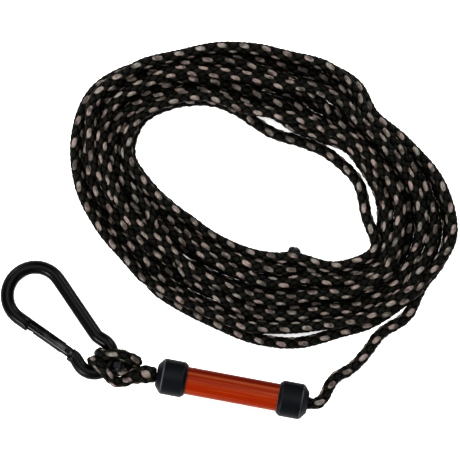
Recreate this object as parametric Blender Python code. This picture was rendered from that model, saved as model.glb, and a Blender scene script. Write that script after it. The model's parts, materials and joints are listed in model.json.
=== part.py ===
"""Tow rope handle: a snap hook, a short round handle that the rope runs through, and a coiled rope.

The handle lies along X with the hook on its -X side. Z is up and z = 0 is the floor under it.
The origin is on the floor under the middle of the handle. Lengths are in metres.
"""

import math

import bmesh
import bpy
from mathutils import Matrix, Vector

# Driving dimensions
ROPE_D = 0.0095
GAP = 0.0003                    # left between pieces that touch

CAP_R = 0.0142
CAP_LENGTH = 0.024
CAP_FACE_R = 0.0083             # flat outer end of a cap, inside its chamfer
CAP_END_WALL = 0.005
HANDLE_LENGTH = 0.1214
TUBE_R = 0.011
TUBE_WALL = 0.0018

WIRE_D = 0.0107                 # the bent rod of the hook
BIG_BEND_R = 0.0222
EYE_R = 0.0140                  # centre line of the small round eye
BEND_SPACING = 0.0674           # big bend's centre to the eye's centre
SIDE_TAPER = math.radians(10.3)
NOSE_AT = 0.010                 # along the gate side, from the big bend's tangent
PIVOT_AT = 0.047
GATE_D = 0.0091
HOOK_YAW = math.radians(-34.9)
EYE_CENTRE = Vector((-0.1116, 0.0061, 0.01485))

KNOT_YAW = math.radians(-22)    # the way that the two turns leave the hook's eye
SQUEEZED_R = 0.0040             # the soft rope where two turns fill the eye
TURN_OFFSET = 0.00415
COIL_HEIGHT = 0.021

# Derived dimensions
ROPE_R = ROPE_D / 2
WIRE_R = WIRE_D / 2
GATE_R = GATE_D / 2
CAP_X = HANDLE_LENGTH / 2
AXIS_Z = CAP_R
NOSE_RADIUS = PIVOT_AT - NOSE_AT    # the nose's end face, measured from the gate's pivot
GATE_INSET = WIRE_R - GATE_R        # the gate is flush with the rod on the hook's inner side

# The way the rope takes from the handle's mouth to the coil
LEAD_ROUTE = [
    (0.0612, 0.0000, 0.0142), (0.0655, 0.0001, 0.0139), (0.0700, 0.0026, 0.0128),
    (0.0730, 0.0085, 0.0111), (0.0750, 0.0170, 0.0089), (0.0794, 0.0250, 0.0070),
    (0.0862, 0.0302, 0.0057), (0.0922, 0.0367, 0.0051), (0.0969, 0.0443, 0.0048),
    (0.1009, 0.0520, 0.0048), (0.1044, 0.0600, 0.0048), (0.1092, 0.0668, 0.0048),
    (0.1155, 0.0722, 0.0048), (0.1218, 0.0775, 0.0048), (0.1265, 0.0848, 0.0048),
]

# Middle of the coiled bundle and half its width, once round
COIL_ROUTE = [
    (0.100, 0.181, 0.036), (0.067, 0.207, 0.031), (0.040, 0.223, 0.031), (0.012, 0.233, 0.034),
    (-0.026, 0.239, 0.033), (-0.058, 0.239, 0.028), (-0.094, 0.229, 0.026), (-0.129, 0.203, 0.027),
    (-0.135, 0.171, 0.027), (-0.120, 0.141, 0.031), (-0.093, 0.114, 0.033), (-0.066, 0.096, 0.033),
    (-0.039, 0.084, 0.033), (-0.011, 0.077, 0.035), (0.020, 0.075, 0.037), (0.052, 0.085, 0.038),
    (0.086, 0.101, 0.031), (0.110, 0.122, 0.031), (0.113, 0.150, 0.036),
]


# Shared helpers

def clear_scene():
    for item in list(bpy.data.objects):
        bpy.data.objects.remove(item, do_unlink=True)


def make_material(name, colour, roughness, metallic=0.0):
    made = bpy.data.materials.new(name)
    made.use_nodes = True
    shader = made.node_tree.nodes["Principled BSDF"]
    shader.inputs["Base Color"].default_value = (*colour, 1.0)
    shader.inputs["Roughness"].default_value = roughness
    shader.inputs["Metallic"].default_value = metallic
    return made


def add_object(name, data, finish=None, parent=None, location=(0, 0, 0), rotation=(0, 0, 0)):
    made = bpy.data.objects.new(name, data)
    bpy.context.scene.collection.objects.link(made)
    made.parent = parent
    made.location = location
    made.rotation_euler = rotation
    if finish is not None:
        data.materials.append(finish)
    return made


def loft(name, rings, closed=False):
    """A mesh through rings of points. Its ends are capped, or joined where closed is true."""
    form = bmesh.new()
    loops = [[form.verts.new(point) for point in ring] for ring in rings]
    pairs = list(zip(loops, loops[1:]))
    if closed:
        pairs.append((loops[-1], loops[0]))
    else:
        form.faces.new(loops[0])
        form.faces.new(loops[-1])
    for first, second in pairs:
        for i in range(len(first)):
            j = (i + 1) % len(first)
            form.faces.new((first[i], first[j], second[j], second[i]))
    bmesh.ops.recalc_face_normals(form, faces=form.faces)
    mesh = bpy.data.meshes.new(name)
    form.to_mesh(mesh)
    form.free()
    mesh.shade_smooth()
    mesh.set_sharp_from_angle(angle=math.radians(32))
    return mesh


def turned(name, outline, segments=40):
    """A hollow turned part about X: outline is a closed loop of (x, radius)."""
    rings = []
    for step in range(segments):
        turn = 2 * math.pi * step / segments
        rings.append([(x, r * math.cos(turn), r * math.sin(turn)) for x, r in outline])
    return loft(name, rings, closed=True)


def turned_solid(name, profile, segments=24, axis="X"):
    """A solid turned part about X or Z: profile is (distance along the axis, radius), end to end."""
    rings = []
    for along, radius in profile:
        ring = []
        for step in range(segments):
            turn = 2 * math.pi * step / segments
            a, b = radius * math.cos(turn), radius * math.sin(turn)
            ring.append((along, a, b) if axis == "X" else (a, b, along))
        rings.append(ring)
    return loft(name, rings)


def sector(name, outline, start, end, steps=8):
    """Part of a turned ring about Z: outline is (radius, z), swept between two angles."""
    rings = []
    for step in range(steps + 1):
        turn = start + (end - start) * step / steps
        rings.append([(r * math.cos(turn), r * math.sin(turn), z) for r, z in outline])
    return loft(name, rings)


def rectangle(low_r, high_r, half_z):
    return [(low_r, -half_z), (high_r, -half_z), (high_r, half_z), (low_r, half_z)]


def rounded_corner(before, corner, after, reach, steps=3):
    """Points that replace a corner by a soft curve starting reach away from it."""
    before, corner, after = Vector(before), Vector(corner), Vector(after)
    start = corner + (before - corner).normalized() * reach
    end = corner + (after - corner).normalized() * reach
    points = []
    for step in range(steps + 1):
        t = step / steps
        points.append(tuple(start * (1 - t) ** 2 + corner * 2 * t * (1 - t) + end * t ** 2))
    return points


def smooth_route(points, spacing, closed=False):
    """Points about spacing apart on a smooth curve through the given ones."""
    points = [Vector(point) for point in points]
    count = len(points)
    if not closed:
        points = [2 * points[0] - points[1], *points, 2 * points[-1] - points[-2]]
    curve = []
    for i in range(count if closed else count - 1):
        if closed:
            a, b, c, d = (points[(i + k - 1) % count] for k in range(4))
        else:
            a, b, c, d = points[i:i + 4]
        steps = max(1, round((c - b).length / spacing))
        for step in range(steps):
            t = step / steps
            curve.append(0.5 * (2 * b + (c - a) * t + (2 * a - 5 * b + 4 * c - d) * t ** 2
                                + (3 * b - a - 3 * c + d) * t ** 3))
    if not closed:
        curve.append(points[-2])
    return curve


def tube_curve(name, points, radius, resolution=3):
    """A round tube along the points, with closed ends."""
    curve = bpy.data.curves.new(name, "CURVE")
    curve.dimensions = "3D"
    curve.bevel_depth = radius
    curve.bevel_resolution = resolution
    curve.use_fill_caps = True
    spline = curve.splines.new("POLY")
    spline.points.add(len(points) - 1)
    for slot, point in zip(spline.points, points):
        slot.co = (*point, 1.0)
    return curve


def combine(target, shape, operation):
    shape.hide_render = True
    shape.display_type = "WIRE"
    modifier = target.modifiers.new(shape.name, "BOOLEAN")
    modifier.operation = operation
    modifier.object = shape


def cut(target, cutter):
    combine(target, cutter, "DIFFERENCE")


def join_solid(target, piece):
    combine(target, piece, "UNION")


# Handle

def cap_outline():
    """One end cap as (x, radius), its flat outer end at x = 0 and its open end towards +x."""
    rope_hole_r = ROPE_R + 0.0005
    socket_r = TUBE_R + 0.0002
    chamfer_end = 0.0047
    lip_start = CAP_LENGTH - 0.0028
    outer = [(0, rope_hole_r + 0.001)]
    outer += rounded_corner((0, 0.005), (0, CAP_FACE_R), (chamfer_end, CAP_R), 0.0011)
    outer += rounded_corner((0, CAP_FACE_R), (chamfer_end, CAP_R), (lip_start, CAP_R), 0.0014)
    outer += rounded_corner((chamfer_end, CAP_R), (lip_start, CAP_R), (CAP_LENGTH, 0.0117), 0.001)
    inner = [(CAP_LENGTH, 0.0119), (CAP_LENGTH, socket_r), (CAP_END_WALL, socket_r)]
    mouth = [(CAP_END_WALL, rope_hole_r), (0.001, rope_hole_r)]
    return [(point[0], point[1]) for point in outer + inner + mouth]


def build_handle():
    rubber = make_material("cap_rubber", (0.012, 0.013, 0.016), 0.55)
    red = make_material("red_tube", (0.62, 0.05, 0.012), 0.2, 0.3)
    outline = cap_outline()
    centre = (0, 0, AXIS_Z)
    left = turned("end_cap_hook_side", [(x - CAP_X, r) for x, r in outline], 48)
    add_object("end_cap_hook_side", left, rubber, location=centre)
    right = turned("end_cap_rope_side", [(CAP_X - x, r) for x, r in outline], 48)
    add_object("end_cap_rope_side", right, rubber, location=centre)
    half = CAP_X - CAP_END_WALL - GAP
    inside = TUBE_R - TUBE_WALL
    tube = turned("handle_tube", [(-half, TUBE_R), (half, TUBE_R), (half, inside), (-half, inside)], 48)
    add_object("handle_tube", tube, red, location=centre)


# Snap hook, in its own frame: origin at the eye's centre, +X away from the big bend

def side_point(along, side):
    """A point on a straight side of the hook. side is +1 on the shank and -1 on the gate side."""
    centre = Vector((-BEND_SPACING, 0, 0))
    out = Vector((math.sin(SIDE_TAPER), side * math.cos(SIDE_TAPER), 0))
    ahead = Vector((math.cos(SIDE_TAPER), -side * math.sin(SIDE_TAPER), 0))
    return centre + BIG_BEND_R * out + along * ahead


def arc(centre, radius, start, end, steps):
    points = []
    for step in range(steps + 1):
        turn = start + (end - start) * step / steps
        points.append(centre + radius * Vector((math.cos(turn), math.sin(turn), 0)))
    return points


def shoulder(start, start_way, end, end_way, steps=6):
    """The bend where a straight side swings out into the eye."""
    reach = (end - start).length * 0.9
    points = []
    for step in range(1, steps):
        t = step / steps
        points.append((2 * t ** 3 - 3 * t ** 2 + 1) * start + (t ** 3 - 2 * t ** 2 + t) * reach * start_way
                      + (3 * t ** 2 - 2 * t ** 3) * end + (t ** 3 - t ** 2) * reach * end_way)
    return points


def hook_path():
    """Centre line of the bent rod, from the nose round to the gate's pivot."""
    tangent = math.pi / 2 - SIDE_TAPER
    big_centre = Vector((-BEND_SPACING, 0, 0))
    reach_in = BIG_BEND_R - BEND_SPACING * math.sin(SIDE_TAPER)
    meet = math.acos(reach_in / EYE_R)
    meet_along = BEND_SPACING * math.cos(SIDE_TAPER) - EYE_R * math.sin(meet)
    eye_end = tangent + meet - math.radians(20)
    straight_end = meet_along - 0.0035
    ahead = Vector((math.cos(SIDE_TAPER), -math.sin(SIDE_TAPER), 0))
    into_eye = Vector((math.sin(eye_end), -math.cos(eye_end), 0))
    eye_start = EYE_R * Vector((math.cos(eye_end), math.sin(eye_end), 0))
    swing = shoulder(side_point(straight_end, 1), ahead, eye_start, into_eye)
    mirrored = [Vector((p.x, -p.y, 0)) for p in reversed(swing)]
    path = [side_point(NOSE_AT + 0.002, -1), side_point(0.005, -1)]
    path += arc(big_centre, BIG_BEND_R, -tangent, tangent - 2 * math.pi, 22)
    path += [side_point(straight_end * k / 4, 1) for k in range(1, 5)]
    path += swing
    path += arc(Vector(), EYE_R, eye_end, -eye_end, 20)
    path += mirrored
    path += [side_point(straight_end, -1), side_point(PIVOT_AT + 0.003, -1)]
    return path


def lock_outline(clearance):
    """T shape of the nose's lug as (radius from the pivot, z), grown by the clearance for its slot."""
    neck_z, head_z = 0.0014 + clearance, 0.0027 + clearance
    head_low = NOSE_RADIUS - 0.0056 - clearance
    head_high = NOSE_RADIUS - 0.0030 + clearance
    end = NOSE_RADIUS + 0.0012
    return [(head_low, -head_z), (head_high, -head_z), (head_high, -neck_z), (end, -neck_z),
            (end, neck_z), (head_high, neck_z), (head_high, head_z), (head_low, head_z)]


def build_hook(pivot_frame, gate_frame):
    black = make_material("hook_black", (0.010, 0.010, 0.012), 0.32, 0.4)
    rod_curve = bpy.data.objects.new("rod", tube_curve("rod", hook_path(), WIRE_R, 6))
    rod = bpy.data.meshes.new_from_object(rod_curve)
    bpy.data.objects.remove(rod_curve)
    rod.shade_smooth()
    rod.set_sharp_from_angle(angle=math.radians(40))
    body = add_object("hook_body", rod, black, pivot_frame)
    nose_cutter = sector("nose_cutter", rectangle(0.020, NOSE_RADIUS, 0.009),
                         math.radians(-14), math.radians(16))
    cut(body, add_object("nose_cutter", nose_cutter, parent=gate_frame))
    pocket = turned_solid("pocket_cutter", [(-0.009, GATE_R + 0.0005), (0.009, GATE_R + 0.0005)],
                          32, "Z")
    cut(body, add_object("pocket_cutter", pocket, parent=gate_frame))
    lug = sector("nose_lug", lock_outline(0.0), math.radians(-3.2), math.radians(6.6))
    join_solid(body, add_object("nose_lug", lug, parent=gate_frame))
    join_solid(body, add_object("tongue", tongue_mesh(), parent=gate_frame))
    hole = turned_solid("rivet_hole", [(-0.006, 0.00165), (0.006, 0.00165)], 24, "Z")
    cut(body, add_object("rivet_hole", hole, parent=gate_frame))


def tongue_mesh():
    """The flat plate that the gate's fork straddles, with a flat nose for the plunger to press on."""
    half_z, half_width, flat_at = 0.0018, 0.0019, 0.0033
    round_r = math.hypot(half_width, flat_at)
    start = math.atan2(half_width, flat_at)
    outline = [(round_r * math.cos(a), round_r * math.sin(a))
               for a in (start + (math.pi * 0.62 - start) * k / 6 for k in range(7))]
    outline += [(-0.0075, outline[-1][1])]
    outline += [(x, -y) for x, y in reversed(outline)]
    return loft("tongue", [[(x, y, z) for x, y in outline] for z in (-half_z, half_z)])


def build_gate(gate_frame):
    black = make_material("gate_black", (0.011, 0.011, 0.013), 0.26, 0.4)
    tip = NOSE_RADIUS - GAP
    rod = turned_solid("hook_gate", [(-GATE_R - 0.0005, GATE_R), (0.002, GATE_R), (tip + 0.002, GATE_R)], 28)
    gate = add_object("hook_gate", rod, black, gate_frame)
    fork = loft("fork_slot", [[(x, -0.010, -0.00215), (x, 0.010, -0.00215), (x, 0.010, 0.00215),
                               (x, -0.010, 0.00215)] for x in (-0.0100, 0.0046)])
    cut(gate, add_object("fork_slot", fork, parent=gate_frame))
    tip_cutter = sector("tip_cutter", rectangle(tip, tip + 0.01, 0.009), math.radians(-14),
                        math.radians(14))
    cut(gate, add_object("tip_cutter", tip_cutter, parent=gate_frame))
    heel = sector("heel_cutter", rectangle(GATE_R, 0.012, 0.009), math.radians(92),
                  math.radians(268), 20)
    cut(gate, add_object("heel_cutter", heel, parent=gate_frame))
    bore = turned_solid("spring_bore", [(0.003, 0.0020), (0.024, 0.0020)], 16)
    cut(gate, add_object("spring_bore", bore, parent=gate_frame))
    hole = turned_solid("gate_hole", [(-0.006, 0.00165), (0.006, 0.00165)], 24, "Z")
    cut(gate, add_object("gate_hole", hole, parent=gate_frame))
    slot = sector("lock_slot", lock_outline(0.00035), math.radians(-3.9), math.radians(14))
    cut(gate, add_object("lock_slot", slot, parent=gate_frame))


def build_gate_parts(gate_frame):
    steel = make_material("bright_steel", (0.55, 0.55, 0.57), 0.3, 1.0)
    black = make_material("rivet_black", (0.012, 0.012, 0.014), 0.35, 0.5)
    head = GATE_R + GAP
    rivet = [(-head - 0.0007, 0.0010), (-head - 0.0004, 0.0019), (-head, 0.0022), (-head, 0.0015),
             (head, 0.0015), (head, 0.0022), (head + 0.0004, 0.0019), (head + 0.0007, 0.0010)]
    add_object("gate_rivet", turned_solid("gate_rivet", rivet, 24, "Z"), black, gate_frame)
    plunger = [(0.0036, 0.0011), (0.0039, 0.0016), (0.0100, 0.0016), (0.0104, 0.0012)]
    add_object("gate_plunger", turned_solid("gate_plunger", plunger, 16), steel, gate_frame)
    turns, per_turn, start, end, radius = 8, 10, 0.0119, 0.0234, 0.00135
    helix = []
    for step in range(turns * per_turn + 1):
        turn = 2 * math.pi * step / per_turn
        along = start + (end - start) * step / (turns * per_turn)
        helix.append(Vector((along, radius * math.cos(turn), radius * math.sin(turn))))
    add_object("gate_spring", tube_curve("gate_spring", helix, 0.00028, 1), steel, gate_frame)


# Rope

def build_turn(name, finish, lateral):
    """One pass of the rope through the middle of the eye and round its rod, open towards the knot."""
    ahead = Vector((math.cos(KNOT_YAW), math.sin(KNOT_YAW), 0))
    across = Vector((-ahead.y, ahead.x, 0))
    rod_along = math.sqrt(EYE_R ** 2 - lateral ** 2)
    hook_ahead = Vector((math.cos(HOOK_YAW), math.sin(HOOK_YAW), 0))
    at_rod = rod_along * ahead + lateral * across
    rod_z = at_rod.dot(hook_ahead) * math.sin(hook_tilt())
    up = WIRE_R + SQUEEZED_R + 2 * GAP
    centre = EYE_CENTRE + at_rod + Vector((0, 0, rod_z))
    leg_end = 0.0206 - rod_along
    points = [centre + leg_end * ahead + Vector((0, 0, up))]
    for step in range(13):
        turn = math.pi / 2 + math.pi * step / 12
        points.append(centre + rod_along * math.cos(turn) * ahead + Vector((0, 0, up * math.sin(turn))))
    points.append(centre + leg_end * ahead - Vector((0, 0, up)))
    add_object(name, tube_curve(name, points, SQUEEZED_R), finish)


def build_knot(finish):
    """The knot's outer shape: a rounded lump with a flat face to the turns and one to the neck."""
    centre = Vector((-0.0845, 0, 0.0127))
    form = bmesh.new()
    bmesh.ops.create_uvsphere(form, u_segments=24, v_segments=14, radius=1.0,
                              matrix=Matrix.Translation(centre) @ Matrix.Diagonal((0.013, 0.0144, 0.0125, 1)))
    ahead = Vector((math.cos(KNOT_YAW), math.sin(KNOT_YAW), 0))
    faces = [(EYE_CENTRE + 0.0209 * ahead, -ahead), (Vector((-0.0755, 0, 0)), Vector((1, 0, 0)))]
    for point, outward in faces:
        everything = form.verts[:] + form.edges[:] + form.faces[:]
        found = bmesh.ops.bisect_plane(form, geom=everything, plane_co=point, plane_no=outward,
                                       clear_outer=True)
        rim = [item for item in found["geom_cut"] if isinstance(item, bmesh.types.BMEdge)]
        bmesh.ops.edgeloop_fill(form, edges=rim)
    bmesh.ops.recalc_face_normals(form, faces=form.faces)
    lump = bpy.data.meshes.new("rope_knot")
    form.to_mesh(lump)
    form.free()
    lump.shade_smooth()
    lump.set_sharp_from_angle(angle=math.radians(40))
    add_object("rope_knot", lump, finish)


def melted_tip(name, finish, location, rotation, length):
    """The bead of melted fibre that seals a cut rope end."""
    profile = [(0, 0.0040), (0.0008, 0.0047), (length - 0.0014, 0.0049), (length - 0.0005, 0.0044),
               (length, 0.0030)]
    add_object(name, turned_solid(name, profile, 16), finish, location=location, rotation=rotation)


def build_coil(finish):
    """The coil's outer shape: a flat-bottomed ring that follows the bundle."""
    stations = smooth_route(COIL_ROUTE, 0.013, closed=True)
    section = [(-0.80, 0.0), (0.80, 0.0), (0.97, 0.22), (1.0, 0.45), (0.93, 0.72), (0.72, 0.92),
               (0.35, 1.0), (-0.35, 1.0), (-0.72, 0.92), (-0.93, 0.72), (-1.0, 0.45), (-0.97, 0.22)]
    rings = []
    for i, station in enumerate(stations):
        way = stations[(i + 1) % len(stations)] - stations[i - 1]
        across = Vector((way.y, -way.x, 0)).normalized()
        middle = Vector((station.x, station.y, 0))
        rings.append([middle + across * side * station.z + Vector((0, 0, height * COIL_HEIGHT))
                      for side, height in section])
    add_object("rope_coil", loft("rope_coil", rings, closed=True), finish)


def build_rope():
    weave = make_material("braided_rope", (0.035, 0.034, 0.026), 0.8)
    melted = make_material("melted_fibre", (0.012, 0.013, 0.018), 0.35)
    middle = Vector((0, 0, AXIS_Z))
    inside = [middle + Vector((x, 0, 0)) for x in (GAP - CAP_X, 0, CAP_X - GAP)]
    add_object("rope_in_handle", tube_curve("rope_in_handle", inside, ROPE_R), weave)
    neck_ends = ((-0.0749, 0, 0.0138), (-0.0680, 0, 0.0140), (-CAP_X - GAP, 0, AXIS_Z))
    neck = smooth_route(neck_ends, 0.003)
    add_object("rope_neck", tube_curve("rope_neck", neck, ROPE_R), weave)
    build_knot(weave)
    build_turn("rope_turn_left", weave, TURN_OFFSET)
    build_turn("rope_turn_right", weave, -TURN_OFFSET)
    melted_tip("knot_tail_tip", melted, (-0.0840, 0.0012, 0.0256), (0, math.radians(-90), 0), 0.0052)
    add_object("rope_lead", tube_curve("rope_lead", smooth_route(LEAD_ROUTE, 0.004), ROPE_R), weave)
    build_coil(weave)
    melted_tip("rope_end_tip", melted, (0.0262, 0.1178, 0.0056), (0, 0, math.radians(88)), 0.0065)


def hook_tilt():
    """The eye is propped up on the rope, and the big bend rests on the floor."""
    return math.asin((EYE_CENTRE.z - WIRE_R) / (BEND_SPACING + BIG_BEND_R))


def main():
    clear_scene()
    build_handle()
    pivot_frame = add_object("hook_frame", None, location=EYE_CENTRE,
                             rotation=(0, -hook_tilt(), HOOK_YAW))
    out = Vector((math.sin(SIDE_TAPER), -math.cos(SIDE_TAPER), 0))
    gate_frame = add_object("gate_frame", None, parent=pivot_frame,
                            location=side_point(PIVOT_AT, -1) - GATE_INSET * out,
                            rotation=(0, 0, math.pi + SIDE_TAPER))
    build_hook(pivot_frame, gate_frame)
    build_gate(gate_frame)
    build_gate_parts(gate_frame)
    build_rope()


main()
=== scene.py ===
"""Looks of the tow rope handle: braided rope, its coil and knot, snap hook, handle, floor and light.

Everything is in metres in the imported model's frame: the handle lies along X and z = 0 is the floor.
"""

import json
import math
import random

import bpy
import bmesh
import numpy as np
from mathutils import Matrix, Vector


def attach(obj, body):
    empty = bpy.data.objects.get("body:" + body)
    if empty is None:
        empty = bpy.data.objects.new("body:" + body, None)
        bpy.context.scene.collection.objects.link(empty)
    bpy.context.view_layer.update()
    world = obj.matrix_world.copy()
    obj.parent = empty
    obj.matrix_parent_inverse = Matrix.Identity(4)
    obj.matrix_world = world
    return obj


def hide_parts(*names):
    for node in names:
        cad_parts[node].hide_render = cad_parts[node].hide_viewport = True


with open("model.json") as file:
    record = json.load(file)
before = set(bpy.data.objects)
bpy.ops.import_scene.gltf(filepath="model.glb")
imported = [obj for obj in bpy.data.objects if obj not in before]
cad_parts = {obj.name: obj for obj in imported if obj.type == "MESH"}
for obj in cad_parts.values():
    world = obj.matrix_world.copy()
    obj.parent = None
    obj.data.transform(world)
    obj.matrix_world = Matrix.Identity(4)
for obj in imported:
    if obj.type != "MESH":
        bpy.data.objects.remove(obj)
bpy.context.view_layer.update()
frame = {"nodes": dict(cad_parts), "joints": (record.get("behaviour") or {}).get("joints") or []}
NODES = frame["nodes"]

# Rope
ROPE_D = 0.0095
ROPE_R = ROPE_D / 2
PITCH = 0.0348                  # one full turn of a strand round the rope
RELIEF = 0.0012                 # how far a strand bulges where it lies on top
BULGE = 0.0002                  # how much of that stands outside the rope's radius
AROUND = 28                     # mesh divisions round the rope
RINGS_PER_PITCH = 24

# Handle and hook
CAP_X = 0.0607
AXIS_Z = 0.0142
SWING = next(joint for joint in frame["joints"] if joint["name"] == "hook_swing")
EYE_CENTRE = np.array(SWING["pos_m"])       # the hook swings about its eye's own axis
EYE_NORMAL = np.array(SWING["axis"])
EYE_R = 0.0140                  # centre line of the hook's eye
WIRE_R = 0.00535
TUBE_PAINTED_HIGHLIGHT = 0.0060            # height across the tube of a painted highlight stripe along it, with a painted shade band beyond it

# The rope's way from the handle to the coil, and the first stretch along the coil's outer edge
LEAD_ROUTE = [
    (0.0607, 0.0000, 0.0142), (0.0655, 0.0001, 0.0139), (0.0700, 0.0026, 0.0128),
    (0.0730, 0.0085, 0.0111), (0.0750, 0.0170, 0.0089), (0.0794, 0.0250, 0.0070),
    (0.0862, 0.0302, 0.0057), (0.0922, 0.0367, 0.0051), (0.0969, 0.0443, 0.0048),
    (0.1009, 0.0520, 0.0048), (0.1044, 0.0600, 0.0048), (0.1092, 0.0668, 0.0048),
    (0.1155, 0.0722, 0.0048), (0.1218, 0.0775, 0.0048), (0.1265, 0.0848, 0.0048),
    (0.1284, 0.0912, 0.0048), (0.1303, 0.1002, 0.0048),
]
# The rope's last stretch, which turns in from under the coil's inner edge to the free end
END_ROUTE = [
    (0.0060, 0.0985, 0.0048), (0.0135, 0.1003, 0.0048), (0.0205, 0.1035, 0.0048),
    (0.0255, 0.1080, 0.0050), (0.0280, 0.1130, 0.0054),
]
# Inner and outer edge of the coiled bundle as (x, y, x, y), every 15 degrees. The first values came
# from a scratch script that scanned the coil's outline in the photograph, and were then corrected.
COIL_EDGES = (
    (0.064, 0.177, 0.137, 0.189), (0.046, 0.190, 0.106, 0.216), (0.029, 0.197, 0.075, 0.235),
    (0.014, 0.199, 0.0555, 0.258), (0.001, 0.199, 0.026, 0.269), (-0.009, 0.201, -0.004, 0.271),
    (-0.020, 0.206, -0.033, 0.272), (-0.037, 0.214, -0.063, 0.267), (-0.059, 0.218, -0.092, 0.2545),
    (-0.0845, 0.211, -0.125, 0.2385), (-0.1055, 0.1945, -0.155, 0.212), (-0.1088, 0.1668, -0.162, 0.174),
    (-0.089, 0.146, -0.152, 0.135), (-0.069, 0.134, -0.130, 0.105), (-0.053, 0.127, -0.104, 0.083),
    (-0.040, 0.121, -0.079, 0.064), (-0.028, 0.117, -0.0505, 0.052), (-0.016, 0.114, -0.021, 0.044),
    (-0.003, 0.112, 0.011, 0.038), (0.012, 0.112, 0.046, 0.041), (0.026, 0.114, 0.078, 0.056),
    (0.058, 0.112, 0.106, 0.072), (0.0865, 0.1295, 0.138, 0.109), (0.0745, 0.154, 0.153, 0.149),
)
SPOKES = len(COIL_EDGES)
STATIONS = 120                  # points on each turn of the coil
FIRST_SPOKE = 22                # the spoke where the coil begins
LAST_TURN = 0.83                # how much of the last turn there is
# Where each turn starts across the bundle, from 0 on the inner edge to 1 on the outer
LANES = (1.0, 1.0, 0.30, 0.62, 0.10, 0.85, 0.45, 0.95, 0.20, 0.70, 0.38, 0.0)
TURNS = len(LANES) - 1          # whole turns under the last one
# Slits between the innermost turn and the others: spoke, reach in spokes, width
SLITS = ((23.43, 2.0, 0.0050), (1.45, 1.7, 0.0065), (4.80, 2.9, 0.0045))
STRAY_SPOKE = 19.0              # where the first turn's end lies clear outside the bundle
STRAY_REACH = 2.6
STRAY_GAP = 0.0026
STRAY_CLOSING = 1.6             # how far the later turns close up behind it, in lanes
# How the turns wander across the bundle
LANE_SEED = 37                  # of the seeds tried, the one with the fewest chance slits
LANE_WAVES = (0.9, 1.7, 3.1)    # waves per turn
WAVE_HEIGHT = 0.065
OWN_SHARE, RANK_SHARE = 0.1, 0.9    # a turn's lane is partly its own and mostly its rank in the bundle
RANK_BLUR = 0.02
EDGE_BLUR = 15                  # stations
# How far the other turns start from the innermost one, in rope diameters
MARGIN = 0.3
WIDE_MARGIN, WIDE_SPOKE, WIDE_REACH = 0.5, 1.5, 7
END_SHIFT = 0.0092              # how far the last turn moves outwards under the others before its end

# The knot, from the handle's mouth: over the eye's rod and back through the eye, under the neck and
# round it, then over the rod and through the eye once more, with the tail standing up in the middle
KNOT_ROUTE = [
    (-0.0607, 0.0000, 0.0142), (-0.0660, -0.0006, 0.0142), (-0.0720, -0.0018, 0.0144),
    (-0.0785, -0.0050, 0.0155), (-0.0845, -0.0097, 0.0175), (-0.0905, -0.0120, 0.0202),
    (-0.0965, -0.0088, 0.0228), (-0.1028, -0.0040, 0.0240), (-0.1086, -0.0010, 0.0212),
    (-0.1125, 0.0000, 0.0148), (-0.1090, 0.0004, 0.0080), (-0.1030, -0.0006, 0.0048),
    (-0.0960, -0.0014, 0.0046), (-0.0885, 0.0000, 0.0046), (-0.0835, 0.0035, 0.0052),
    (-0.0790, 0.0072, 0.0090), (-0.0780, 0.0082, 0.0145), (-0.0800, 0.0086, 0.0200),
    (-0.0850, 0.0094, 0.0235), (-0.0912, 0.0104, 0.0247), (-0.0975, 0.0088, 0.0250),
    (-0.1035, 0.0066, 0.0225), (-0.1076, 0.0074, 0.0155), (-0.1045, 0.0080, 0.0085),
    (-0.0985, 0.0060, 0.0050), (-0.0925, 0.0050, 0.0056), (-0.0886, 0.0036, 0.0090),
    (-0.0880, 0.0024, 0.0140), (-0.0893, 0.0014, 0.0190), (-0.0915, 0.0012, 0.0230),
]
KNOT_R = 0.0046                 # the rope is squeezed in the knot
KNOT_GAP = 0.0084               # how near its strands come to each other there
NECK_R = 0.0072                 # and bunched where the knot jams on the handle's mouth

# How a rope settles
SEARCH_EVERY = 6                # rounds between two searches for strands that may touch
SEARCH_REACH = 0.006            # how much farther than touching the search looks
SEARCH_APART = 5                # points along the rope that aren't compared with each other
BENDING = ((1, 0.35), (3, 0.12))    # stiffness: how many points away, and how strongly
CALM_ROUNDS = 60                # the last rounds, with a gentler fall
CALM_FALL = 0.25
PUSH = 1.3                      # how strongly touching strands push each other away
CROWD = 1.6                     # contacts from which on a point's pushes are averaged

TIP_AROUND = 32                 # mesh divisions round a melted end
STRANDS = 4.0                   # strands of each hand, half of the eight

# Camera: a long lens that looks down on the floor, rolled a little to the handle
CAMERA_TARGET = (-0.0247, 0.1232, 0.006)
CAMERA_DISTANCE = 6.0
CAMERA_WIDTH = 0.3634           # how much it sees at the target
CAMERA_TILT = math.radians(88)
CAMERA_RIGHT = (0.983, 0.183, 0)
SENSOR = 36.0

# Lamps, all aimed at the object's middle: name, place, size, watts
LIGHTS = (
    ("overhead", (-0.15, 0.45, 2.00), 1.6, 42.0),
    ("key", (-0.95, -1.15, 0.80), 0.22, 30.0),
    ("rim", (0.80, 1.50, 0.75), 0.3, 16.0),
    ("left", (-1.30, 0.90, 0.70), 0.3, 12.0),
    ("spark", (1.00, -1.10, 0.60), 0.1, 3.0),
)
LIGHT_AIM = (0.0, 0.12, 0.0)


# Curves

def ease(x):
    """0 below 0 and 1 above 1, with a smooth step between."""
    x = np.clip(x, 0, 1)
    return x * x * (3 - 2 * x)


def spline_at(a, b, c, d, t):
    """The Catmull-Rom curve from b to c."""
    return 0.5 * (2 * b + (c - a) * t + (2 * a - 5 * b + 4 * c - d) * t ** 2
                  + (3 * b - a - 3 * c + d) * t ** 3)


def run_along(line):
    """How far along the line each of its points is."""
    return np.concatenate([[0], np.cumsum(np.linalg.norm(np.diff(line, axis=0), axis=1))])


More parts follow.
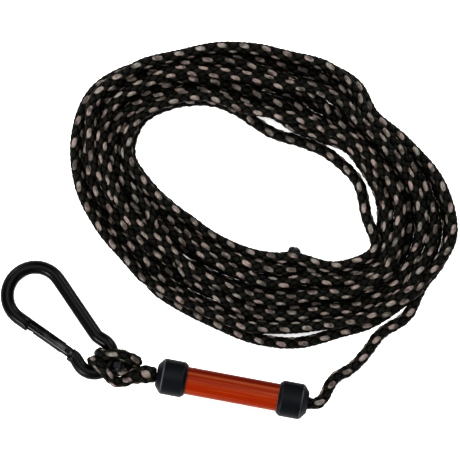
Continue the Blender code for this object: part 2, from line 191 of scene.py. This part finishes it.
def evenly(points, spacing):
    """The same line with points an even distance apart, close to spacing."""
    run = run_along(points)
    at = np.linspace(0, run[-1], max(2, round(run[-1] / spacing) + 1))
    return np.stack([np.interp(at, run, column) for column in points.T], axis=1)


def smooth_line(points, spacing):
    """Evenly spaced points on a smooth curve through the given ones."""
    points = np.asarray(points, float)
    points = np.vstack([2 * points[0] - points[1], points, 2 * points[-1] - points[-2]])
    steps = np.linspace(0, 1, 24, endpoint=False)[:, None]
    parts = [spline_at(*four, steps) for four in zip(points, points[1:], points[2:], points[3:])]
    return evenly(np.vstack(parts + [points[-2:-1]]), spacing)


def directions(points):
    """The line's unit direction at each point."""
    along = np.gradient(points, axis=0)
    return along / np.linalg.norm(along, axis=1)[:, None]


# How a rope comes to lie

def near_pairs(points, reach, apart):
    """Index pairs of points within reach of each other that aren't close along the rope."""
    flat = points.astype(np.float32)
    square = (flat * flat).sum(axis=1)
    distance = square[:, None] + square[None] - 2 * flat @ flat.T
    return np.nonzero(np.triu(distance < reach * reach, apart))


def push_apart(points, pairs, size, free):
    """Moves points of touching strands sideways until they are nearly size apart."""
    first, second = pairs
    gap = points[first] - points[second]
    distance = np.linalg.norm(gap, axis=1)
    hit = distance < size
    if not hit.any():
        return
    first, second = first[hit], second[hit]
    move = gap[hit] * ((size - distance[hit]) / distance[hit] / 2)[:, None]
    count = len(points)
    total = np.stack([np.bincount(first, part, count) - np.bincount(second, part, count)
                      for part in move.T], axis=1)
    hits = np.bincount(first, minlength=count) + np.bincount(second, minlength=count)
    total *= (PUSH / np.maximum(hits, CROWD) * free)[:, None]
    along = directions(points)
    points += total - (total * along).sum(axis=1)[:, None] * along


def settle(points, home, pull, free, size, low, rounds, fall, stay_out=None):
    """Lets a rope find its lay: pulled to its home line, stiff, solid to itself and no lower than low."""
    free_all = free[:, None]
    for step in range(rounds):
        if step % SEARCH_EVERY == 0:
            pairs = near_pairs(points, size + SEARCH_REACH, SEARCH_APART)
        points[:, 2] -= free * fall * (1.0 if step < rounds - CALM_ROUNDS else CALM_FALL)
        points += free_all * pull * (home - points)
        for _ in range(3):
            for reach, share in BENDING:
                shift = points - home
                mean = (shift[:-2 * reach] + shift[2 * reach:]) / 2
                points[reach:-reach] += share * free_all[reach:-reach] * (mean - shift[reach:-reach])
            push_apart(points, pairs, size, free)
            if stay_out:
                stay_out(points, free)
            points[:, 2] = np.maximum(points[:, 2], low)
    return points


def freedom(count, fixed, over):
    """0 for the first, fixed points of a rope, rising to 1 over the points after them."""
    free = np.ones(count)
    free[:fixed] = 0
    free[fixed:fixed + over] = np.arange(1, over + 1) / (over + 1)
    return free


# The coil's turns

def edges_at(spoke):
    """Inner and outer edge points at fractional spokes."""
    edges = np.array(COIL_EDGES)
    whole = np.floor(spoke).astype(int)
    four = [edges[(whole + k) % SPOKES] for k in (-1, 0, 1, 2)]
    return spline_at(*four, (spoke - whole)[:, None])


def hump(spoke, centre, reach):
    """1 at the centre spoke, easing to 0 at reach spokes either side."""
    off = (spoke - centre + SPOKES / 2) % SPOKES - SPOKES / 2
    return ease(1 - np.abs(off) / reach)


def once_round(values, reach):
    """Smooths one value per station, round the closed turn."""
    kernel = np.hanning(reach)
    kernel /= kernel.sum()
    return np.convolve(np.tile(values, 3), kernel, "same")[STATIONS:2 * STATIONS]


def wandering():
    """The turns' lanes as they drift from one to the next, one row per turn."""
    dice = random.Random(LANE_SEED)
    at = np.arange(STATIONS) / STATIONS
    rows = []
    for start, end in zip(LANES, LANES[1:]):
        begin, width = dice.uniform(0.02, 0.5), dice.uniform(0.3, 0.48)
        rows.append(start + (end - start) * ease((at - begin) / width))
    lane = np.concatenate(rows)
    turn = np.arange(len(lane)) / STATIONS
    for waves in LANE_WAVES:
        lane += WAVE_HEIGHT / waves ** 0.5 * np.sin(2 * math.pi * (waves * turn + dice.random()))
    # the first turn leaves the outer edge and comes back to it, the last whole one ends inside
    lane[:STATIONS] = 1.1 - 0.6 * ease(at / 0.25) * ease((0.78 - at) / 0.3)
    lane = lane * ease((TURNS - 0.12 - turn) / 0.35) - 0.15 * ease((turn - TURNS + 0.3) / 0.2)
    return lane.reshape(TURNS, STATIONS)


def lanes():
    """Where each turn lies across the bundle, station by station, from 0 inside to 1 outside."""
    grid = wandering()
    order = (1 / (1 + np.exp((grid[None] - grid[:, None]) / RANK_BLUR))).sum(axis=1) - 0.5
    grid = np.clip(OWN_SHARE * grid + RANK_SHARE * order / (TURNS - 1), 0, 1)
    low, high = once_round(grid.min(axis=0), EDGE_BLUR), once_round(grid.max(axis=0), EDGE_BLUR)
    return np.clip((grid - low) / (high - low), 0, 1).reshape(-1)


def slits(spoke):
    """How far the slits push the other turns away from the innermost one."""
    return sum((ROPE_D + width) * hump(spoke, centre, reach) for centre, reach, width in SLITS)


def later_turns(turn):
    """0 on the first turn, which strays outside the bundle, and 1 on those after it."""
    return ease((turn - 1.02) / 0.1)


def stray_room(spoke, turn):
    """The room along the outer edge that the later turns leave to the first one."""
    return (ROPE_D + STRAY_GAP) * hump(spoke, STRAY_SPOKE, STRAY_REACH) * later_turns(turn)


def coil_start():
    """The turns before they settle: each in its lanes, one above the other, the last on the floor."""
    lane = lanes()
    count = len(lane)
    turn = np.arange(count + round(LAST_TURN * STATIONS)) / STATIONS
    spoke = FIRST_SPOKE + turn * SPOKES
    edges = edges_at(spoke)
    inner, outer = edges[:, :2], edges[:, 2:]
    width = np.linalg.norm(outer - inner, axis=1)
    way, upper = spoke[:count], turn[:count]
    margin = ROPE_R + MARGIN * ROPE_D + WIDE_MARGIN * ROPE_D * hump(way, WIDE_SPOKE, WIDE_REACH)
    near = np.maximum(margin, ROPE_R + slits(way))
    # towards its end the last whole turn comes in to the innermost one's place
    near = near + (ROPE_R - near) * ease((upper - TURNS + 0.42) / 0.1)
    far = width[:count] - ROPE_R - stray_room(way, upper)
    closing = STRAY_CLOSING * later_turns(upper) * hump(way, STRAY_SPOKE, STRAY_REACH)
    lane = np.minimum(lane * (1 + closing / (TURNS - 1)), 1)
    last = ROPE_R + END_SHIFT * ease((turn[count:] - TURNS - 0.62) / 0.18)
    off = np.concatenate([near + lane * (far - near), last])
    flat = inner + (outer - inner) * (off / width)[:, None]
    # each turn starts a rope above the one before, and the last drops to the floor
    level = ROPE_R + ROPE_D * (1 + turn)
    drop = ease((turn - TURNS + 0.12) / 0.16)
    level = level * (1 - drop) + ROPE_R * drop
    return np.column_stack([flat, level])


def coil_walls(begin, count):
    """A function that keeps the coil's points between the bundle's edges and out of its slits."""
    turn = np.arange(count) / STATIONS
    spoke = FIRST_SPOKE + turn * SPOKES
    edges = edges_at(spoke)
    inner, across = edges[:, :2], edges[:, 2:] - edges[:, :2]
    width = np.linalg.norm(across, axis=1)
    across /= width[:, None]
    upper = ease((TURNS - 0.3 - turn) / 0.1)
    nearest = ROPE_R + slits(spoke) * upper
    farthest = width - ROPE_R - stray_room(spoke, turn)
    coil = slice(begin, begin + count)

    def keep_between(points, _free):
        off = ((points[coil, :2] - inner) * across).sum(axis=1)
        move = np.clip(off, nearest, farthest) - off
        points[coil, :2] += move[:, None] * across

    return keep_between


def coil_line():
    """Centre line of the rope from the handle through the coil to its free end."""
    lead, end = smooth_line(LEAD_ROUTE, 0.005), smooth_line(END_ROUTE, 0.005)
    turns = coil_start()
    points = np.vstack([lead, turns, end])
    begin = len(lead)
    # the first turn climbs from the floor
    climb = slice(begin, begin + 40)
    points[climb, 2] = ROPE_R + (points[climb, 2] - ROPE_R) * ease(np.arange(40) / 40)
    free = freedom(len(points), begin, 12)
    free[-len(end):] = 0
    return settle(points, home=points * (1, 1, 0), pull=np.array((0.30, 0.30, 0.0)), free=free,
                  size=ROPE_D, low=ROPE_R + BULGE, rounds=420, fall=0.0005,
                  stay_out=coil_walls(begin, len(turns)))


def keep_off_eye(points, free):
    """Keeps the knot's strands outside the eye's rod, which is a ring here."""
    from_eye = points - EYE_CENTRE
    height = from_eye @ EYE_NORMAL
    radial = from_eye - height[:, None] * EYE_NORMAL
    radial /= np.linalg.norm(radial, axis=1)[:, None]
    from_rod = from_eye - EYE_R * radial
    distance = np.linalg.norm(from_rod, axis=1)
    short = np.clip(WIRE_R + KNOT_R - distance, 0, 0.002) * free
    points += from_rod * (0.5 * short / distance)[:, None]


def rounded(line, rounds):
    """Takes the kinks out of a line, its ends fixed."""
    for _ in range(rounds):
        line = evenly(line, 0.002)
        line[1:-1] = (line[:-2] + 2 * line[1:-1] + line[2:]) / 4
    return line


def knot_line():
    """Centre line of the rope from the handle through the knot to its tail."""
    points = smooth_line(KNOT_ROUTE, 0.003)
    line = settle(points, home=points.copy(), pull=0.04, free=freedom(len(points), 3, 5),
                  size=KNOT_GAP, low=KNOT_R + BULGE, rounds=160, fall=0.0, stay_out=keep_off_eye)
    return rounded(line, 2)


# Rope mesh

def placed(name, mesh, finish):
    """The mesh as a smooth object of one material, in the scene."""
    mesh.shade_smooth()
    mesh.materials.append(finish)
    made = bpy.data.objects.new(name, mesh)
    bpy.context.scene.collection.objects.link(made)
    return made


def carried_frames(points):
    """Directions along and across the line at each point, carried along it without twist."""
    along = directions(points)
    side = np.cross(along[0], (0, 0, 1))
    sides = []
    for way in along:
        side = side - way * side.dot(way)
        side = side / np.linalg.norm(side)
        sides.append(side)
    sides = np.array(sides)
    return along, sides, np.cross(along, sides)


def braid_height(turn, pitches):
    """How high the rope's surface stands, from 0 between two strands to 1 on top of one."""
    one, other = STRANDS * (turn - pitches), STRANDS * (turn + pitches)
    return np.abs(np.cos(math.pi * one) * np.cos(math.pi * other)) ** 0.55


def braided_surface(centre, radii, pitches):
    """The rope's surface points, ring by ring, with each strand's bulge."""
    along, side, top = carried_frames(centre)
    turn = np.arange(AROUND)[None] / AROUND
    reach = radii[:, None] + BULGE - RELIEF * (1 - braid_height(turn, pitches[:, None]))
    angle = 2 * math.pi * turn
    across = np.cos(angle)[..., None] * side[:, None] + np.sin(angle)[..., None] * top[:, None]
    return (centre[:, None] + across * reach[..., None]).reshape(-1, 3)


def rope_mesh(name, line, radius, finish):
    """A braided rope along the line. radius is a number, or one value for each point of the line."""
    radii = np.broadcast_to(radius, len(line))
    both = evenly(np.column_stack([line, radii]), PITCH / RINGS_PER_PITCH)
    centre = both[:, :3]
    pitches = run_along(centre) / PITCH
    rings = len(centre)
    ring, step = np.meshgrid(np.arange(rings - 1), np.arange(AROUND), indexing="ij")
    after = (step + 1) % AROUND
    faces = np.stack([ring * AROUND + step, ring * AROUND + after,
                      (ring + 1) * AROUND + after, (ring + 1) * AROUND + step], axis=-1).reshape(-1, 4)
    ends = [list(range(AROUND))[::-1], list(range((rings - 1) * AROUND, rings * AROUND))]
    mesh = bpy.data.meshes.new(name)
    verts = braided_surface(centre, both[:, 3], pitches)
    mesh.from_pydata(verts.tolist(), [], faces.tolist() + ends)
    # u goes once round the rope, v counts pitches along it
    u = np.stack([step, step + 1, step + 1, step], axis=-1) / AROUND
    v = np.stack([pitches[ring], pitches[ring], pitches[ring + 1], pitches[ring + 1]], axis=-1)
    sides, caps = np.stack([u, v], axis=-1).reshape(-1), np.zeros(4 * AROUND)
    layer = mesh.uv_layers.new(name="braid")
    layer.data.foreach_set("uv", np.concatenate([sides, caps]).astype(np.float32))
    return placed(name, mesh, finish), centre


def melted_loop(form, base, axes, length, radius, along, share):
    """One ring of a melted end's uneven surface."""
    way, side, top = axes
    loop = []
    for step in range(TIP_AROUND):
        turn = 2 * math.pi * step / TIP_AROUND
        lump = 1 + 0.05 * math.sin(3 * turn + 5 * along) + 0.04 * math.sin(5 * turn - 7 * along + 1)
        lift = 0.06 * math.sin(2 * turn + 1.2) + 0.04 * math.sin(5 * turn)
        out = radius * share * lump
        centre = np.array(base) + way * length * (along + lift * max(along, 0))
        loop.append(form.verts.new(centre + side * out * math.cos(turn) + top * out * math.sin(turn)))
    return loop


def melted_tip(name, base, way, length, radius, finish):
    """The rope's end where its fibres were melted together: a lumpy, slightly swollen stub."""
    way = np.array(way) / np.linalg.norm(way)
    side = np.cross(way, (0.3, 0.2, 1.0))
    side /= np.linalg.norm(side)
    axes = (way, side, np.cross(way, side))
    # how far along, and how wide there
    profile = [(-0.25, 0.80), (0.0, 0.94), (0.22, 1.02), (0.45, 1.08), (0.66, 1.05), (0.82, 0.90),
               (0.93, 0.66), (0.985, 0.36), (0.97, 0.12)]
    form = bmesh.new()
    loops = [melted_loop(form, base, axes, length, radius, *row) for row in profile]
    for first, second in zip(loops, loops[1:]):
        for i in range(TIP_AROUND):
            j = (i + 1) % TIP_AROUND
            form.faces.new((first[i], first[j], second[j], second[i]))
    form.faces.new(loops[0][::-1])
    form.faces.new(loops[-1])
    bmesh.ops.recalc_face_normals(form, faces=form.faces)
    mesh = bpy.data.meshes.new(name)
    form.to_mesh(mesh)
    form.free()
    return placed(name, mesh, finish)


# Materials

class Nodes:
    """Short calls that add and join a material's nodes."""

    def __init__(self, name):
        self.material = bpy.data.materials.new(name)
        self.material.use_nodes = True
        self.tree = self.material.node_tree
        self.shader = self.tree.nodes["Principled BSDF"]

    def add(self, kind, values=(), **settings):
        node = self.tree.nodes.new(kind)
        for key, value in settings.items():
            setattr(node, key, value)
        for slot, value in enumerate(values):
            self.put(value, node.inputs[slot])
        return node.outputs[0]

    def put(self, value, socket):
        if isinstance(value, bpy.types.NodeSocket):
            self.tree.links.new(value, socket)
        elif value is not None:
            socket.default_value = value

    def math(self, operation, *values, clamp=False):
        return self.add("ShaderNodeMath", values, operation=operation, use_clamp=clamp)

    def power(self, value, exponent):
        return self.math("POWER", self.math("ABSOLUTE", value), exponent)

    def ramp(self, value, start, end):
        """0 below start, 1 above end, eased between."""
        node = self.tree.nodes.new("ShaderNodeMapRange")
        node.interpolation_type = "SMOOTHSTEP"
        self.put(value, node.inputs["Value"])
        node.inputs["From Min"].default_value = start
        node.inputs["From Max"].default_value = end
        return node.outputs["Result"]

    def mix(self, share, first, second):
        node = self.tree.nodes.new("ShaderNodeMix")
        node.data_type = "RGBA"
        for name, value in (("Factor_Float", share), ("A_Color", first), ("B_Color", second)):
            socket = next(s for s in node.inputs if s.identifier == name)
            if isinstance(value, tuple):
                value = (*value, 1.0)
            self.put(value, socket)
        return next(s for s in node.outputs if s.identifier == "Result_Color")

    def blend(self, share, first, second):
        """A number between first and second."""
        node = self.tree.nodes.new("ShaderNodeMix")
        for name, value in (("Factor_Float", share), ("A_Float", first), ("B_Float", second)):
            self.put(value, next(s for s in node.inputs if s.identifier == name))
        return next(s for s in node.outputs if s.identifier == "Result_Float")

    def noise(self, vector, scale, detail=2.0, roughness=0.5):
        node = self.tree.nodes.new("ShaderNodeTexNoise")
        self.put(vector, node.inputs["Vector"])
        node.inputs["Scale"].default_value = scale
        node.inputs["Detail"].default_value = detail
        node.inputs["Roughness"].default_value = roughness
        return node.outputs["Fac"]

    def place(self):
        """Position on the object, the same at every pose."""
        return self.add("ShaderNodeTexCoord").node.outputs["Object"]

    def parts(self, vector):
        """The vector's three numbers."""
        node = self.tree.nodes.new("ShaderNodeSeparateXYZ")
        self.put(vector, node.inputs[0])
        return list(node.outputs)

    def rims(self, start, end):
        """0 on faces and 1 on outer edges, where highlights are painted and edges get rubbed."""
        return self.ramp(self.add("ShaderNodeNewGeometry").node.outputs["Pointiness"], start, end)

    def stretched(self, vector, scale):
        node = self.tree.nodes.new("ShaderNodeMapping")
        self.put(vector, node.inputs["Vector"])
        node.inputs["Scale"].default_value = scale
        return node.outputs["Vector"]

    def bump(self, height, distance, strength=1.0):
        node = self.tree.nodes.new("ShaderNodeBump")
        self.put(height, node.inputs["Height"])
        node.inputs["Distance"].default_value = distance
        node.inputs["Strength"].default_value = strength
        self.put(node.outputs["Normal"], self.shader.inputs["Normal"])

    def set(self, **values):
        for name, value in values.items():
            socket = self.shader.inputs[name.replace("_", " ")]
            if isinstance(value, tuple):
                value = (*value, 1.0)
            self.put(value, socket)


def braid_fibres(n, one, other, on_top):
    """Noise that is fine across the strand on top and long along it."""
    fine = n.blend(on_top, other, one)
    long = n.blend(on_top, one, other)
    place = n.add("ShaderNodeCombineXYZ", (n.math("MULTIPLY", fine, 14.0),
                                           n.math("MULTIPLY", long, 1.6),
                                           n.math("MULTIPLY", on_top, 7.3)))
    return n.noise(place, 1.0, 2.0, 0.6)


def braid_fleck(n, one, other):
    """From 0 in the middle of a tan strand's rounded fleck, longer along the rope, to 1 at its edge."""
    from_one, from_other = n.math("WRAP", one, 1.0, -1.0), n.math("WRAP", other, 1.0, -1.0)
    length = n.math("SUBTRACT", from_other, from_one)
    width = n.math("MULTIPLY_ADD", length, -0.16, n.math("ADD", from_one, from_other))
    return n.math("ADD", n.power(n.math("DIVIDE", length, 1.02), 2.1),
                  n.power(n.math("DIVIDE", width, 0.74), 2.1))


def tan_colour(n, fibre):
    """Pinkish and greyish tan in patches, some flecks dimmed at random as painted shade, and painted
    shade between the fibres.
    """
    patch = n.noise(n.place(), 55.0, 2.0)
    tint = n.noise(n.place(), 140.0, 1.0)
    pinkish, greyish = (0.200, 0.160, 0.144), (0.175, 0.162, 0.142)
    tan = n.mix(n.ramp(patch, 0.40, 0.62), pinkish, greyish)
    # painted shade: some flecks dimmed at random
    tan = n.mix(n.ramp(tint, 0.42, 0.66), tan, (0.060, 0.051, 0.045))
    # painted shade between the fibres
    return n.mix(n.ramp(fibre, 0.30, 0.62), n.mix(0.7, tan, (0.030, 0.026, 0.022)), tan)


def braid_material():
    """Black braid with tan strands, two of the eight, and fibres that run along each strand, with painted
    shade between the strands and painted glints on the black fibres.
    """
    n = Nodes("braided_rope")
    uv = n.add("ShaderNodeUVMap", uv_map="braid")
    turn, pitches = n.parts(uv)[:2]
    one = n.math("MULTIPLY", n.math("SUBTRACT", turn, pitches), STRANDS)
    other = n.math("MULTIPLY", n.math("ADD", turn, pitches), STRANDS)
    cos_one = n.math("COSINE", n.math("MULTIPLY", one, math.pi))
    cos_other = n.math("COSINE", n.math("MULTIPLY", other, math.pi))
    product = n.math("MULTIPLY", cos_one, cos_other)
    on_top = n.math("GREATER_THAN", product, 0.0)
    height = n.math("POWER", n.math("ABSOLUTE", product), 0.4)
    fibre = braid_fibres(n, one, other, on_top)
    fleck = braid_fleck(n, one, other)
    tan_share = n.math("SUBTRACT", 1.0, n.ramp(fleck, 0.75, 1.05))
    crown = n.math("MAXIMUM", height, n.power(n.math("SUBTRACT", 1.0, fleck, clamp=True), 0.4))
    black = n.mix(on_top, (0.0078, 0.0080, 0.0056), (0.0056, 0.0056, 0.0046))
    # painted glints: light dashes on the black fibres
    black = n.mix(n.ramp(fibre, 0.58, 0.78), black, (0.050, 0.048, 0.040))
    colour = n.mix(tan_share, black, tan_colour(n, fibre))
    # painted shade in the hollows between strands and round the flecks' edges
    colour = n.mix(n.ramp(crown, 0.25, 0.85), (0.0003, 0.0003, 0.0003), colour)
    n.set(Base_Color=colour, Roughness=n.blend(fibre, 0.62, 0.40), Specular_IOR_Level=0.04)
    bump = n.math("ADD", n.math("MULTIPLY", crown, 0.7), n.math("MULTIPLY", fibre, 0.4))
    n.bump(bump, 0.0008)
    return n.material


def melted_material():
    """Black plastic melt, glossy in places."""
    n = Nodes("melted_fibre")
    place = n.place()
    coarse, fine = n.noise(place, 420.0, 3.0, 0.6), n.noise(place, 1600.0, 2.0)
    colour = n.mix(n.ramp(coarse, 0.3, 0.75), (0.0015, 0.0015, 0.0020), (0.0060, 0.0065, 0.0095))
    n.set(Base_Color=colour, Roughness=n.blend(coarse, 0.22, 0.62), Specular_IOR_Level=0.15)
    n.bump(n.math("ADD", coarse, n.math("MULTIPLY", fine, 0.25)), 0.0005, 0.9)
    return n.material


def painted_material(name, roughness):
    """Satin black enamel on steel, with a faint orange peel, dust, and lighter edges that are rubbed
    paint and painted highlight.
    """
    n = Nodes(name)
    place = n.place()
    peel = n.noise(place, 900.0, 2.0)
    smudge = n.noise(place, 60.0, 3.0, 0.6)
    speck = n.noise(place, 2600.0, 1.0)
    # lighter edges: partly rubbed paint, partly a painted highlight
    painted_rim_light_and_wear = n.math("MULTIPLY", n.rims(0.53, 0.60), n.ramp(smudge, 0.45, 0.70))
    colour = n.mix(smudge, (0.0012, 0.0012, 0.0015), (0.0028, 0.0028, 0.0032))
    colour = n.mix(n.ramp(speck, 0.72, 0.80), colour, (0.016, 0.016, 0.016))
    colour = n.mix(painted_rim_light_and_wear, colour, (0.045, 0.045, 0.046))
    gloss = n.blend(smudge, roughness - 0.06, roughness + 0.10)
    n.set(Base_Color=colour, Roughness=gloss, Specular_IOR_Level=0.08)
    n.bump(peel, 0.00004, 0.5)
    return n.material


def rubber_material():
    """Dull blue-black rubber with a painted highlight on its rims, in patches."""
    n = Nodes("cap_rubber")
    place = n.place()
    grain, smudge = n.noise(place, 2200.0, 2.0, 0.6), n.noise(place, 90.0, 3.0, 0.6)
    colour = n.mix(smudge, (0.0022, 0.0025, 0.0036), (0.0040, 0.0045, 0.0062))
    # painted highlight on the rims, in patches
    painted_rim_light_and_wear = n.math("MULTIPLY", n.rims(0.525, 0.533), n.ramp(smudge, 0.30, 0.55))
    colour = n.mix(painted_rim_light_and_wear, colour, (0.048, 0.050, 0.056))
    n.set(Base_Color=colour, Roughness=n.blend(smudge, 0.42, 0.58), Specular_IOR_Level=0.09)
    n.bump(grain, 0.00006, 0.5)
    return n.material


def tube_material():
    """Red-orange plastic with draw lines that are also painted reflection lines, painted light as a
    richer red on one side, a painted highlight stripe and a painted shade band beyond it.
    """
    n = Nodes("red_tube")
    place = n.place()
    across = n.parts(place)[1]
    lines = n.noise(n.stretched(place, (9.0, 1100.0, 1100.0)), 1.0, 2.0, 0.6)
    bands = n.noise(n.stretched(place, (3.0, 190.0, 190.0)), 1.0, 1.0)
    cloud = n.noise(place, 45.0, 2.0)
    colour = n.mix(n.ramp(bands, 0.30, 0.70), (0.108, 0.010, 0.0022), (0.158, 0.024, 0.0058))
    colour = n.mix(n.math("MULTIPLY", cloud, 0.35), colour, (0.090, 0.006, 0.0010))
    # painted light: the side towards the key lamp in a richer red
    painted_lit_side = n.math("MULTIPLY", n.ramp(across, 0.0010, -0.0050), 0.7)
    colour = n.mix(painted_lit_side, colour, (0.166, 0.017, 0.0014))
    # lighter lines: draw lines, also painted reflection lines
    colour = n.mix(n.ramp(lines, 0.54, 0.72), colour, (0.215, 0.058, 0.020))
    # painted shade: a band along the tube's +y side
    painted_shade_band = n.ramp(across, TUBE_PAINTED_HIGHLIGHT - 0.0002, TUBE_PAINTED_HIGHLIGHT + 0.0018)
    colour = n.mix(painted_shade_band, colour, (0.090, 0.009, 0.0020))
    # painted highlight: a light stripe along the tube
    from_painted_highlight = n.math("ABSOLUTE", n.math("SUBTRACT", across, TUBE_PAINTED_HIGHLIGHT))
    painted_highlight = n.math("MULTIPLY", n.math("SUBTRACT", 1.0, n.ramp(from_painted_highlight, 0.0002, 0.0016)), 0.5)
    colour = n.mix(painted_highlight, colour, (0.200, 0.070, 0.032))
    n.set(Base_Color=colour, Roughness=n.blend(lines, 0.16, 0.34), Specular_IOR_Level=0.035)
    n.bump(lines, 0.00003, 0.6)
    return n.material


def steel_material():
    """Bare spring steel with fine drawing marks."""
    n = Nodes("bright_steel")
    place = n.place()
    brushed = n.noise(n.stretched(place, (200.0, 200.0, 3000.0)), 1.0, 2.0)
    stain = n.noise(place, 300.0)
    colour = n.mix(stain, (0.42, 0.42, 0.43), (0.60, 0.60, 0.61))
    n.set(Base_Color=colour, Roughness=n.blend(brushed, 0.22, 0.42), Metallic=1.0)
    n.bump(brushed, 0.00002, 0.5)
    return n.material


def floor_material():
    """Matt white that glows a little like a light table: painted light that fills in the shade on the
    floor.
    """
    n = Nodes("pale_floor")
    cloud = n.noise(n.place(), 6.0, 2.0)
    n.set(Base_Color=n.mix(cloud, (0.93, 0.93, 0.93), (0.96, 0.96, 0.96)), Roughness=0.9,
          Emission_Color=(1.0, 1.0, 1.0), Emission_Strength=0.3)
    return n.material


# Rigid pieces

def finer(name, node, body, finish, bevel, sharp=40.0):
    """A copy of a CAD solid with rounded edges and smooth normals, which stands for it."""
    mesh = NODES[node].data.copy()
    form = bmesh.new()
    form.from_mesh(mesh)
    bmesh.ops.remove_doubles(form, verts=form.verts, dist=1e-6)
    bmesh.ops.join_triangles(form, faces=form.faces, angle_face_threshold=math.radians(1),
                             angle_shape_threshold=math.radians(40), cmp_seam=False, cmp_sharp=False,
                             cmp_uvs=False, cmp_vcols=False, cmp_materials=False)
    form.to_mesh(mesh)
    form.free()
    mesh.materials.clear()
    made = placed(name, mesh, finish)
    mesh.set_sharp_from_angle(angle=math.radians(sharp))
    if bevel:
        rounding = made.modifiers.new("rounding", "BEVEL")
        rounding.width = bevel
        rounding.segments = 2
        rounding.limit_method = "ANGLE"
        rounding.angle_limit = math.radians(sharp)
    even = made.modifiers.new("even_normals", "WEIGHTED_NORMAL")
    even.keep_sharp = True
    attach(made, body)
    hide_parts(node)
    return made


# Set-up

def build_camera():
    """The camera's axes come from its right-hand direction on the floor and its tilt."""
    right = Vector(CAMERA_RIGHT).normalized()
    back = Vector((right.y, -right.x, 0)) * math.cos(CAMERA_TILT) + Vector((0, 0, math.sin(CAMERA_TILT)))
    data = bpy.data.cameras.new("camera")
    data.sensor_width = SENSOR
    data.lens = SENSOR * CAMERA_DISTANCE / CAMERA_WIDTH
    camera = bpy.data.objects.new("camera", data)
    camera.matrix_world = Matrix.Translation(Vector(CAMERA_TARGET) + back * CAMERA_DISTANCE) @ Matrix(
        (right, back.cross(right), back)).transposed().to_4x4()
    bpy.context.scene.collection.objects.link(camera)
    bpy.context.scene.camera = camera


def area_light(name, place, size, power):
    """A square lamp aimed at the object."""
    data = bpy.data.lights.new(name, "AREA")
    data.energy = power
    data.size = size
    light = bpy.data.objects.new(name, data)
    light.location = place
    way = Vector(LIGHT_AIM) - Vector(place)
    light.rotation_euler = way.to_track_quat("-Z", "Y").to_euler()
    bpy.context.scene.collection.objects.link(light)


def build_light():
    """Soft white surroundings, the lamps and the picture's contrast."""
    world = bpy.data.worlds.new("studio")
    world.use_nodes = True
    background = world.node_tree.nodes["Background"]
    background.inputs["Color"].default_value = (1.0, 1.0, 1.0, 1.0)
    background.inputs["Strength"].default_value = 0.25
    bpy.context.scene.world = world
    bpy.context.scene.view_settings.view_transform = "Standard"
    bpy.context.scene.view_settings.look = "High Contrast"
    for lamp in LIGHTS:
        area_light(*lamp)


def build_floor():
    mesh = bpy.data.meshes.new("floor")
    form = bmesh.new()
    bmesh.ops.create_grid(form, x_segments=2, y_segments=2, size=4.0)
    form.to_mesh(mesh)
    form.free()
    placed("floor", mesh, floor_material())


def build_tow_rope(braid, melted):
    """The rope from the handle through the coil to its free end."""
    rope, centre = rope_mesh("tow_rope", coil_line(), ROPE_R, braid)
    tip = melted_tip("rope_melted_end", centre[-1], (0.05, 1.0, 0.06), 0.0062, 0.0047, melted)
    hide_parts("rope_lead", "rope_coil")
    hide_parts("rope_end_tip")
    return rope, tip


def build_hook_rope(braid, melted):
    """The rope from the handle through the knot on the hook to its tail."""
    line = knot_line()
    run = run_along(line)
    radii = ROPE_R + (NECK_R - ROPE_R) * ease(run / 0.003)
    radii = radii + (KNOT_R - radii) * ease((run - 0.012) / 0.016)
    knot, centre = rope_mesh("hook_rope", line, radii, braid)
    tail = melted_tip("knot_melted_end", centre[-1], centre[-1] - centre[-4], 0.0048, 0.0043, melted)
    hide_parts("rope_neck", "rope_knot", "rope_turn_left", "rope_turn_right")
    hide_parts("knot_tail_tip")
    return knot, tail


def build_handle_rope(braid):
    """The stretch inside the handle."""
    half = CAP_X - 0.0003
    line = np.array([(-half, 0, AXIS_Z), (half, 0, AXIS_Z)])
    middle, _ = rope_mesh("handle_rope", line, ROPE_R - 0.0001, braid)
    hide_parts("rope_in_handle")
    return middle


def build_ropes():
    """All of the rope, which is the root body."""
    braid, melted = braid_material(), melted_material()
    rope, tip = build_tow_rope(braid, melted)
    knot, tail = build_hook_rope(braid, melted)
    for piece in (rope, knot, build_handle_rope(braid)):
        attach(piece, "rope")
    for piece in (tip, tail):
        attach(piece, "rope")


def build_hard_pieces():
    """The handle's and the hook's pieces. Spring and plunger stay as the CAD has them."""
    rubber, steel = rubber_material(), steel_material()
    paint, gate_paint = painted_material("hook_paint", 0.32), painted_material("gate_paint", 0.24)
    finer("cap_hook_side", "end_cap_hook_side", "handle", rubber, 0.0004, 25.0)
    finer("cap_rope_side", "end_cap_rope_side", "handle", rubber, 0.0004, 25.0)
    finer("red_handle_tube", "handle_tube", "handle", tube_material(), 0.0003)
    finer("hook_rod", "hook_body", "hook", paint, 0.0)
    finer("hook_gate_rod", "hook_gate", "gate", gate_paint, 0.0)
    finer("hinge_rivet", "gate_rivet", "hook", paint, 0.00015, 25.0)
    for node in ("gate_spring", "gate_plunger"):
        NODES[node].data.materials.clear()
        NODES[node].data.materials.append(steel)


build_camera()
build_ropes()
build_hard_pieces()
build_floor()
build_light()
